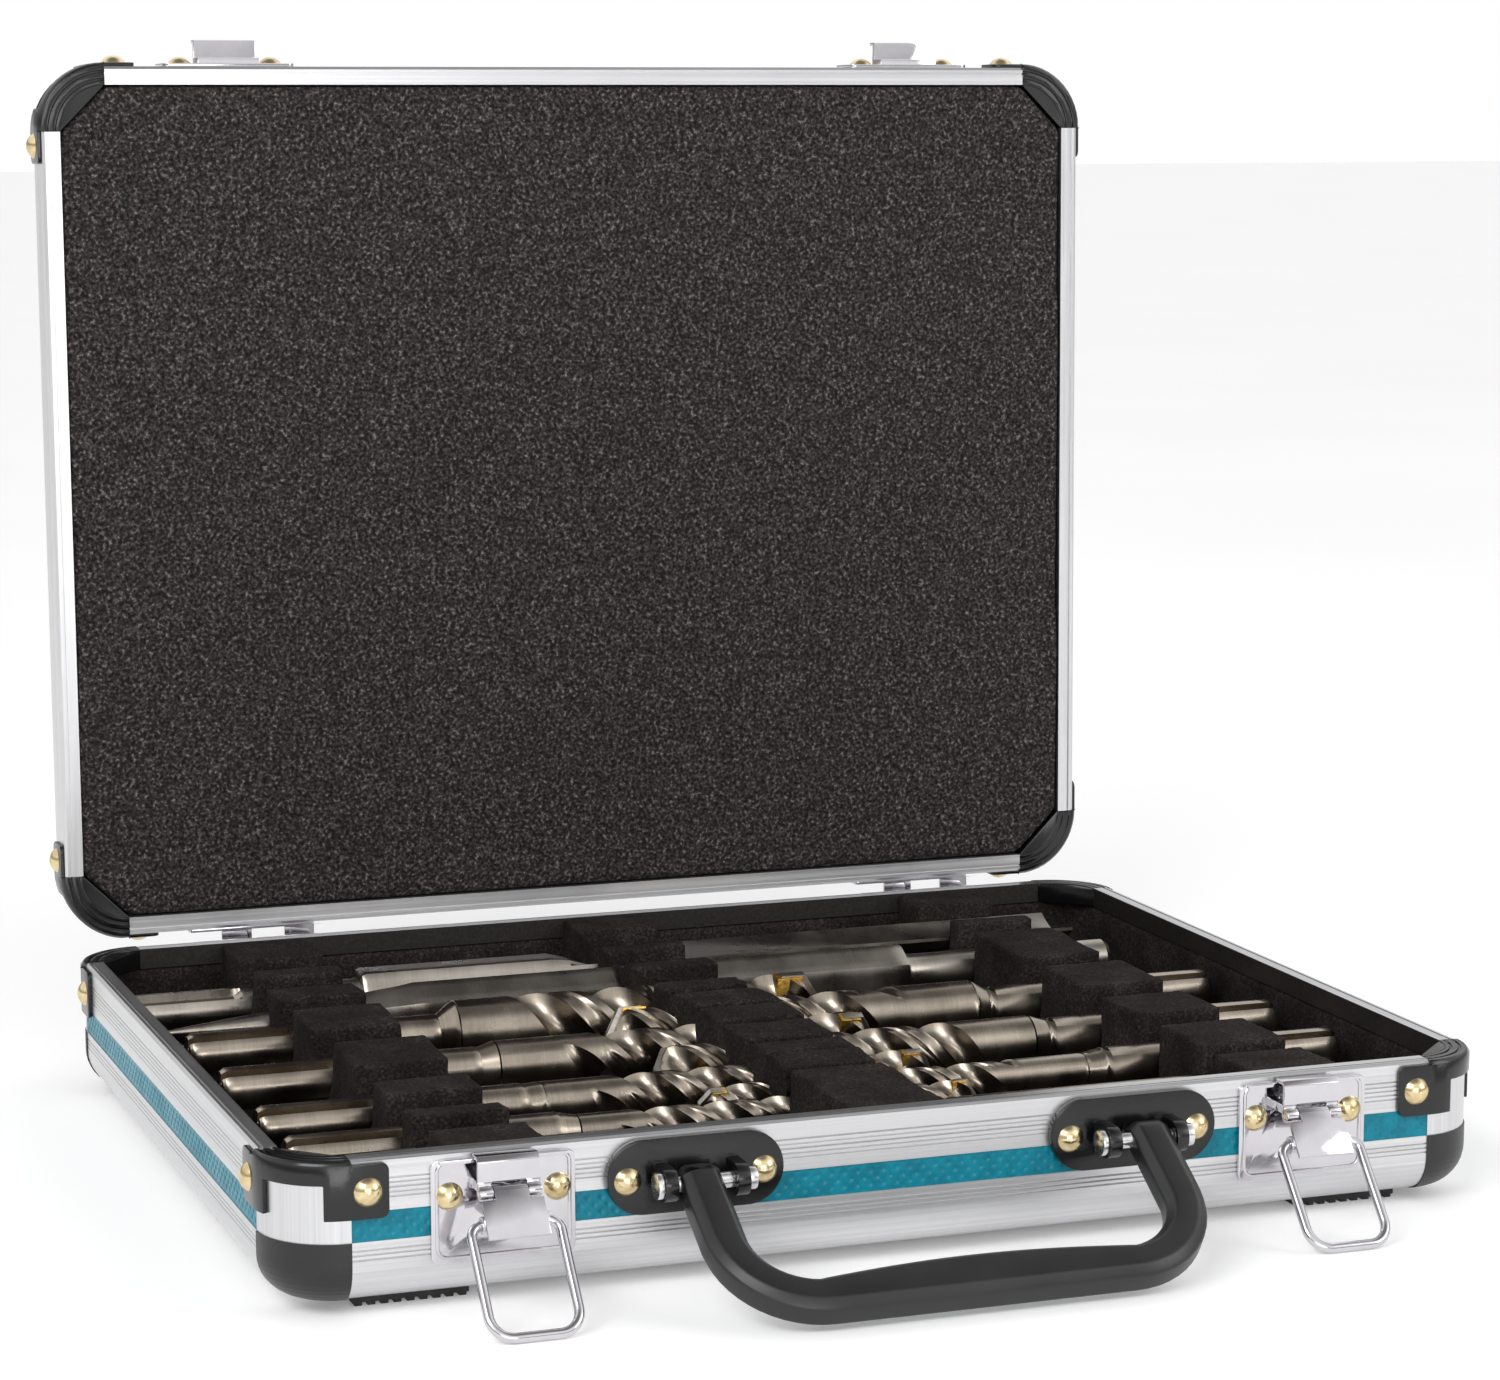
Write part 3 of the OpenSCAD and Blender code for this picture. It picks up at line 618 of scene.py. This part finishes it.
def plate_beads():
    """The pressed bead on each latch plate, a little inside its edge."""
    plate_t = 0.84 * MM
    margin = 1.3 * MM
    for side in ("left", "right"):
        lo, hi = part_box("latch_plate_" + side)
        centre = Vector(((lo.x + hi.x) / 2, FRONT - plate_t, (lo.z + hi.z) / 2))
        bead("latch_bead_" + side, centre, hi.x - lo.x - 2 * margin, hi.z - lo.z - 2 * margin, 2.2 * MM)


# ---- Tools ----

# Drill: way it points along X, diameter and start of the flutes in mm, turn of its tip from the front
DRILLS = {
    "drill_16": (1, 16, 76, 8),
    "drill_14": (-1, 14, 84, 20),
    "drill_12_left": (1, 12, 81, 25),
    "drill_12_right": (-1, 12, 76, 50),
    "drill_10": (1, 10, 76, 15),
    "drill_8_right": (-1, 8, 82, -30),
    "drill_8_left": (1, 8, 74, 0),
    "drill_6_left": (1, 6, 70, 0),
    "drill_6_right": (1, 6, 70, 60),
}
SHANK_LEN = 61
SHANK_R = 5
# Places along a shank where its rings stand, close together where the slots end
SHANK_STEPS = [0, 0.5, 1.2, 4, 8, 12, 14, 15, 17, 20, 23, 24.5, 25.5, 26.5, 27.2, 28, 29, 32, 40, 50]
FLUTE_COLUMNS = 12
LAND_COLUMNS = 14


def drill_ring(z, radius, turn, flute_w, flute_d, boxy, slit_d):
    """One ring of a drill in mm: two flutes half a turn apart, and a slit in each land."""
    ring = []
    for side in (0, 180):
        for i in range(FLUTE_COLUMNS):
            u = -1 + 2 * i / FLUTE_COLUMNS
            shape = (1 - abs(u) ** (7 if boxy else 2.2)) ** (0.3 if boxy else 0.62)
            ring.append((side + u * flute_w, radius - flute_d * shape))
        land = 180 - 2 * flute_w
        for i in range(LAND_COLUMNS):
            t = i / LAND_COLUMNS
            v = (t - 0.42) / 0.07
            slit = slit_d * max(0.0, 1 - v * v) ** 0.5
            relief = 0.035 * radius * smoothstep(0.5, 0.6, t) if slit_d and not boxy else 0.0
            ring.append((side + flute_w + t * land, radius - slit - relief))
    points = []
    for angle, r in ring:
        a = math.radians(angle + turn)
        points.append(Vector((r * math.cos(a), r * math.sin(a), z)))
    return points


def drill_rings(diameter, length, flute_start, turn, way):
    """Rings along a drill in mm, from the shank's end to the head."""
    body_r = diameter / 2
    lead = 14 + 1.65 * diameter
    head = length - body_r * 0.75
    rings = []
    for z in SHANK_STEPS + [59]:
        r = SHANK_R - max(0.0, 1.2 - z) * 0.6
        open_slot = 1 - smoothstep(25, 28, z)
        pocket = smoothstep(13, 15.5, z) * (1 - smoothstep(26, 29, z))
        rings.append(drill_ring(z, r, 32 * way, 11.5, 2.5 * open_slot, True, 0.5 * pocket))
    neck = 4
    for z in [60.4, SHANK_LEN]:
        rings.append(drill_ring(z, SHANK_R - 0.25 * (z > 60.5), 25, 15, 0, False, 0))
    for z in [SHANK_LEN + neck * k / 4 for k in range(1, 5)]:
        t = (z - SHANK_LEN) / neck
        r = SHANK_R + (body_r - SHANK_R) * t - 0.25 * (1 - t)
        rings.append(drill_ring(z, r, 25, 20, 0, False, 0))
    z = SHANK_LEN + neck + 0.4
    step = lead / 40
    run_out = 1.5 * body_r
    while z < head:
        s = smoothstep(flute_start, flute_start + run_out, z)
        spin = turn + 360 * max(0.0, z - flute_start) / lead
        width = 12 + 38 * min(1.0, s ** 0.6)
        slit = smoothstep(flute_start + run_out, flute_start + run_out * 1.5, z)
        depth = 0.56 * body_r * s ** 0.8
        rings.append(drill_ring(z, body_r, spin, width, depth, False, 0.10 * body_r * slit))
        z += step
    for k in range(1, 6):
        t = k / 5
        z = head + (length - head) * 0.62 * t
        spin = turn + 360 * (head - flute_start) / lead + 12 * t
        rings.append(drill_ring(z, body_r * (1 - 0.72 * t ** 1.4), spin, 50,
                                0.5 * body_r * (1 - t), False, 0.1 * body_r * (1 - t)))
    return rings


def plate_between(outline, thickness, name):
    """A plate from an outline in X-Z, with small chamfers."""
    bm = bmesh.new()
    faces = []
    for side in (-1, 1):
        faces.append(bm.faces.new([bm.verts.new((x, side * thickness / 2, z)) for x, z in outline]))
    n = len(outline)
    a, b = faces[0].verts, faces[1].verts
    for j in range(n):
        k = (j + 1) % n
        bm.faces.new((a[j], a[k], b[k], b[j]))
    bmesh.ops.bevel(bm, geom=list(bm.edges), offset=thickness * 0.08, segments=2, profile=0.6,
                    affect="EDGES", clamp_overlap=True)
    return to_mesh(bm, name)


def lay(mesh, node, way, turn=0.0):
    """Puts a tool drawn along Z in mm into its CAD node's place, along X."""
    lo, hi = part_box(node)
    start = lo.x if way > 0 else hi.x
    z = (lo.z + hi.z) / 2
    lies = Matrix(((0, 0, way, start), (0, way, 0, (lo.y + hi.y) / 2), (-1, 0, 0, z), (0, 0, 0, 1)))
    mesh.transform(lies @ Matrix.Scale(MM, 4) @ Matrix.Rotation(math.radians(turn), 4, "Z"))


def drill(node, way, diameter, flute_start, tip_turn):
    """One drill; tip_turn is how far its carbide plate is turned from facing the front of the case."""
    lo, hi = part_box(node)
    length = (hi.x - lo.x) / MM
    r = diameter / 2
    lead = 14 + 1.65 * diameter
    turn = tip_turn - 90 - 360 * (length - r * 0.75 - flute_start) / lead
    rings = drill_rings(diameter, length, flute_start, turn, way)
    mesh = rings_to_mesh(rings, node)
    lay(mesh, node, way)
    add_piece(node + "_body", mesh, node, [MATERIALS["drill_steel"]], [node], 38)
    # Carbide plate across the head, and the brazing that holds it
    bottom = length - 1.35 * r
    tip = [(-1.04 * r, bottom), (1.04 * r, bottom), (1.04 * r, length - 0.55 * r), (0.12 * r, length - 0.02),
           (-0.12 * r, length - 0.02), (-1.04 * r, length - 0.55 * r)]
    tip_mesh = plate_between(tip, 0.34 * r, node + "_tip")
    lay(tip_mesh, node, way, tip_turn)
    add_piece(node + "_tip", tip_mesh, node, [CARBIDE], (), 25)
    seat = [(-1.0 * r, bottom - 0.16 * r), (1.0 * r, bottom - 0.16 * r), (1.0 * r, length - 0.68 * r),
            (0.5 * r, length - 0.42 * r), (-0.5 * r, length - 0.42 * r), (-1.0 * r, length - 0.68 * r)]
    seat_mesh = plate_between(seat, 0.52 * r, node + "_brazing")
    lay(seat_mesh, node, way, tip_turn)
    add_piece(node + "_brazing", seat_mesh, node, [BRAZE], (), 25)


CHISEL_COLUMNS = 48
CHISEL_LEN = 250
STEM_APOTHEM = 7


def chisel_shank_rings(turn):
    rings = []
    for z in SHANK_STEPS + [56.5]:
        r0 = SHANK_R - max(0.0, 1.2 - z) * 0.6
        ring = []
        for j in range(CHISEL_COLUMNS):
            angle = 360 * j / CHISEL_COLUMNS
            from_slot = min(abs((angle - turn + 90) % 180 - 90), 180)
            from_pocket = min(abs((angle - turn) % 180 - 90), 180)
            slot = 1.9 * (from_slot < 15.1) * (1 - smoothstep(25, 28, z))
            pocket = 1.0 * max(0.0, 1 - (from_pocket / 16) ** 2) ** 0.5 if from_pocket < 16 else 0.0
            pocket *= smoothstep(13, 15.5, z) * (1 - smoothstep(26, 29, z))
            r = r0 - slot - pocket
            a = math.radians(angle)
            ring.append(Vector((r * math.cos(a), r * math.sin(a), z)))
        rings.append(ring)
    return rings


def hex_ring(z, apothem, roundness, turn):
    """Ring of a hexagon in mm, its corners eased towards a circle."""
    ring = []
    for j in range(CHISEL_COLUMNS):
        angle = 360 * j / CHISEL_COLUMNS
        local = (angle - turn + 30) % 60 - 30
        flat = apothem / math.cos(math.radians(local))
        r = flat * (1 - roundness) + apothem * 1.035 * roundness
        r = min(r, apothem * 1.125)
        a = math.radians(angle)
        ring.append(Vector((r * math.cos(a), r * math.sin(a), z)))
    return ring


def stem_rings(turn, end):
    """Slotted shank and hexagonal stem of a chisel, up to the given length."""
    rings = chisel_shank_rings(30)
    rings.append(hex_ring(57, SHANK_R, 1, turn))
    for z, k in ((57.2, 0.80), (57.8, 0.93), (58.8, 1.0)):
        rings.append(hex_ring(z, STEM_APOTHEM * k, 1 - k, turn))
    for z in range(62, end, 6):
        rings.append(hex_ring(z, STEM_APOTHEM, 0.0, turn))
    return rings


def point_chisel():
    """Chisel whose hexagonal stem narrows to a point."""
    node = "point_chisel"
    turn, stem_end = 30, 188
    rings = stem_rings(turn, stem_end + 1)
    steps = 16
    for k in range(1, steps + 1):
        t = k / steps
        z = stem_end + (CHISEL_LEN - stem_end - 0.4) * t
        apothem = STEM_APOTHEM * (1 - t) ** 0.94 * 0.97 + 0.55 * t
        rings.append(hex_ring(z, apothem, min(1.0, t * 1.6), turn))
    rings.append(hex_ring(CHISEL_LEN, 0.25, 1, turn))
    mesh = rings_to_mesh(rings, node)
    lay(mesh, node, -1)
    add_piece(node + "_detail", mesh, node, [MATERIALS["chisel_steel"]], [node], 30)


def gouge_ring(z, t):
    """Ring of the gouge's blade: a crescent that widens, thins and rises along the blade."""
    half = 6.6 + 3.4 * smoothstep(0.0, 0.28, t)
    top = 5.5 + 0.3 * smoothstep(0, 0.3, t) + 0.4 * t
    thick = 11.2 * (1 - smoothstep(0.04, 0.5, t)) + 2.4 * smoothstep(0.04, 0.5, t)
    hollow = 3.4 * smoothstep(0.12, 0.75, t)
    ring = []
    n = CHISEL_COLUMNS // 2
    for j in range(n):
        x = -math.cos(math.pi * j / (n - 1)) * half
        q = 1 - (x / half) ** 2
        ring.append(Vector((-(top - hollow * q), x, z)))
    for j in range(n):
        x = math.cos(math.pi * j / (n - 1)) * half
        q = 1 - (x / half) ** 2
        edge = 0.35 + 0.65 * q
        ring.append(Vector((-(top - hollow * q - thick * edge), x, z)))
    return ring


def gouge_chisel():
    """Chisel with a hollow blade that rises from its stem."""
    node = "gouge_chisel"
    lo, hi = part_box(node)
    blade_start = 108
    # The rings start where a crescent does, and the last hexagon turns into the first crescent
    shift = CHISEL_COLUMNS * 5 // 8
    rings = [r[shift:] + r[:shift] for r in stem_rings(0, blade_start)]
    last = rings[-1]
    steps = 34
    for k in range(0, steps + 1):
        t = k / steps
        z = blade_start + (CHISEL_LEN - blade_start) * t
        ring = gouge_ring(z, t)
        w = smoothstep(0, 0.16, t)
        rings.append([Vector((a.x, a.y, z)).lerp(b, w) for a, b in zip(last, ring)])
    mesh = rings_to_mesh(rings, node)
    start = Vector((lo.x, (lo.y + hi.y) / 2, TOOL_AXIS))
    lies = Matrix(((0, 0, 1, start.x), (0, 1, 0, start.y), (-1, 0, 0, start.z), (0, 0, 0, 1)))
    mesh.transform(lies @ Matrix.Scale(MM, 4))
    add_piece(node + "_detail", mesh, node, [MATERIALS["chisel_steel"]], [node], 30)


# ---- Handle ----

HANDLE_ANGLE = math.radians(31.6)


def handle_path():
    """Centre line of the handle in its own plane, in mm: one arm, the corner, the grip, and back."""
    arm_x, reach, grip_w, corner = 51.5, 40.0, 8.8, 17.8
    grip_y = reach - grip_w / 2
    points = []
    for k in range(0, 9):
        points.append((-arm_x, (grip_y - corner) * k / 8, "arm"))
    for k in range(1, 13):
        a = math.radians(180 - 90 * k / 13)
        x = -arm_x + corner + corner * math.cos(a)
        points.append((x, grip_y - corner + corner * math.sin(a), "bend"))
    span = arm_x - corner
    for k in range(0, 25):
        points.append((-span + 2 * span * k / 24, grip_y, "grip"))
    right = [(-x, y, kind) for x, y, kind in points[:21]]
    return points + right[::-1]


def handle_section(width, thickness, swell):
    """Section of the handle in mm: flat faces, wide chamfers, eased corners, and a swell on the inner side."""
    w, t, c = width / 2, thickness / 2, 2.0
    corners = [(w, t - c), (w - c * 0.9, t), (-w + c * 1.1, t), (-w, t - c * 0.8),
               (-w, -t + c * 0.8), (-w + c * 1.1, -t), (w - c * 0.9, -t), (w, -t + c)]
    points = []
    n = len(corners)
    for i, p in enumerate(corners):
        p = Vector(p)
        before, after = Vector(corners[i - 1]), Vector(corners[(i + 1) % n])
        a = p + (before - p).normalized() * 0.55
        b = p + (after - p).normalized() * 0.55
        for t2 in (0.0, 0.33, 0.67, 1.0):
            points.append(a.lerp(p, t2).lerp(p.lerp(b, t2), t2))
    return [Vector((p.x + (swell if p.x > 0 else 0.0), p.y)) for p in points]


def handle():
    """Carrying handle: chamfered section, with a swell on the inner side of the grip."""
    pivot = Vector(JOINTS["handle_swing"]["pos_m"])
    out = Vector((0, -math.cos(HANDLE_ANGLE), -math.sin(HANDLE_ANGLE)))
    up = Vector((0, -math.sin(HANDLE_ANGLE), math.cos(HANDLE_ANGLE)))
    across = Vector((1, 0, 0))
    path = handle_path()
    arm_w, grip_w, thickness = 9.1, 8.9, 7.7

    def ring(x, y, side, width, thick, swell):
        centres = [(Vector((x, y)) + side * p.x, p.y) for p in handle_section(width, thick, swell)]
        return [pivot + MM * (across * c.x + out * c.y + up * height) for c, height in centres]

    def cap(x, a):
        """Ring of an arm's rounded end, at an angle from its last full section."""
        half = thickness / 2
        return ring(x, -half * math.sin(a), Vector((-1, 0)), arm_w, thickness * math.cos(a) + 0.02, 0.0)

    cap_angles = [math.pi / 2 * k / 5 for k in range(1, 6)]
    rings = [cap(path[0][0], a) for a in reversed(cap_angles)]
    for i, (x, y, kind) in enumerate(path):
        a, b = path[max(0, i - 1)], path[min(len(path) - 1, i + 1)]
        tangent = Vector((b[0] - a[0], b[1] - a[1])).normalized()
        side = Vector((tangent.y, -tangent.x))
        swell = 2.3 * max(0.0, 1 - (x / 38) ** 2) ** 1.2 if kind == "grip" else 0.0
        rings.append(ring(x, y, side, arm_w if kind == "arm" else grip_w, thickness, swell))
    rings += [cap(path[-1][0], a) for a in cap_angles]
    mesh = rings_to_mesh(rings, "handle")
    add_piece("handle_grip", mesh, "handle", [MATERIALS["handle_plastic"]],
              ["handle"], 24)


# ---- Stage ----

def area_light(name, place, aim, size, power):
    data = bpy.data.lights.new(name, "AREA")
    data.shape = "RECTANGLE"
    data.size, data.size_y = size
    data.energy = power
    obj = bpy.data.objects.new(name, data)
    bpy.context.scene.collection.objects.link(obj)
    obj.location = place
    obj.rotation_euler = (Vector(aim) - Vector(place)).to_track_quat("-Z", "Y").to_euler()


def sky(tree):
    """White to look at. For light and reflections, darker near the horizon and overhead."""
    background = tree.nodes["Background"]
    coords = tree.nodes.new("ShaderNodeTexCoord").outputs["Generated"]
    split = tree.nodes.new("ShaderNodeSeparateXYZ")
    tree.links.new(coords, split.inputs[0])
    ramp = tree.nodes.new("ShaderNodeValToRGB")
    stops = [(0.0, 0.9), (0.08, 0.30), (0.22, 0.42), (0.34, 1.0), (0.74, 1.0), (0.92, 0.25), (1.0, 0.2)]
    while len(ramp.color_ramp.elements) < len(stops):
        ramp.color_ramp.elements.new(0.5)
    for element, (at, grey) in zip(ramp.color_ramp.elements, stops):
        element.position = at
        element.color = (grey, grey, grey, 1)
    tree.links.new(split.outputs["Z"], ramp.inputs["Fac"])
    tree.links.new(ramp.outputs["Color"], background.inputs["Color"])
    background.inputs["Strength"].default_value = 1.15
    plain = tree.nodes.new("ShaderNodeBackground")
    plain.inputs["Color"].default_value = (1, 1, 1, 1)
    path = tree.nodes.new("ShaderNodeLightPath")
    mix = tree.nodes.new("ShaderNodeMixShader")
    tree.links.new(path.outputs["Is Camera Ray"], mix.inputs["Fac"])
    tree.links.new(background.outputs[0], mix.inputs[1])
    tree.links.new(plain.outputs[0], mix.inputs[2])
    tree.links.new(mix.outputs[0], tree.nodes["World Output"].inputs["Surface"])


def studio():
    """Pale floor, soft lights and the camera."""
    bm = bmesh.new()
    size = 12.0
    corners = [(-size, -size), (size, -size), (size, size), (-size, size)]
    bm.faces.new([bm.verts.new((x, y, 0)) for x, y in corners])
    mesh = bpy.data.meshes.new("floor")
    bm.to_mesh(mesh)
    bm.free()
    floor = bpy.data.objects.new("floor", mesh)
    bpy.context.scene.collection.objects.link(floor)
    m = Nodes("floor", (0.9, 0.9, 0.9), 0.0, 0.7)
    m.set("Emission Color", (1, 1, 1, 1))
    m.set("Emission Strength", 0.16)
    m.link(m.ramp(m.noise(3, 2), [(0.3, 0.90), (0.7, 0.93)]), m.shader.inputs["Base Color"])
    mesh.materials.append(m.material)

    world = bpy.data.worlds.new("studio")
    bpy.context.scene.world = world
    world.use_nodes = True
    sky(world.node_tree)

    area_light("key", (-1.0, -0.9, 1.1), (0, 0, 0.05), (0.9, 0.6), 10)
    area_light("fill", (1.1, -0.9, 0.7), (0, 0, 0.05), (0.7, 0.7), 4)
    area_light("front", (-0.2, -1.7, 0.35), (0, 0, 0.05), (1.0, 0.5), 6)

    camera_data = bpy.data.cameras.new("camera")
    camera_data.lens = 95.46
    camera_data.sensor_width = 36
    camera_data.sensor_fit = "HORIZONTAL"
    camera_data.shift_y = 0.04
    camera_data.clip_end = 20
    camera = bpy.data.objects.new("camera", camera_data)
    bpy.context.scene.collection.objects.link(camera)
    camera.location = (-314.8 * MM, MIDDLE_Y - 872.8 * MM, 247.8 * MM)
    yaw, pitch = math.radians(19.957), math.radians(9.381)
    camera.rotation_euler = (math.pi / 2 - pitch, math.radians(0.03), -yaw)
    bpy.context.scene.camera = camera
    bpy.context.scene.view_settings.view_transform = "Standard"


paint_cad()
strips()
for index, name in enumerate(("foam_row_left", "foam_row_middle", "foam_row_right")):
    foam_row(name, index + 1)
soft_sheet("floor_pad", 1.4 * MM, 0.10 * MM, "tray", MATERIALS["foam"])
soft_sheet("lining", 1.1 * MM, 0.10 * MM, "tray", MATERIALS["foam"])
soft_sheet("lid_foam_pad", 1.5 * MM, 0.12 * MM, "lid", MATERIALS["lid_foam"])
for name, facts in DRILLS.items():
    drill(name, *facts)
point_chisel()
gouge_chisel()
handle()
plate_beads()
for name in ("latch_plate_left", "latch_plate_right", "catch_left", "catch_right", "latch_lever_left",
             "latch_lever_right", "hinge_leaf_lower_left", "hinge_leaf_lower_right",
             "hinge_leaf_upper_left", "hinge_leaf_upper_right"):
    softened(name, 0.16 * MM, MATERIALS["chrome"])
for name in ("handle_bracket_left", "handle_bracket_right", "corner_braces", "lid_corner_braces"):
    softened(name, 0.25 * MM, MATERIALS["black_plastic"])
softened("feet", 0.18 * MM, MATERIALS["foot_rubber"])
softened("handle_bolts", 0.3 * MM, MATERIALS["zinc"])
studio()
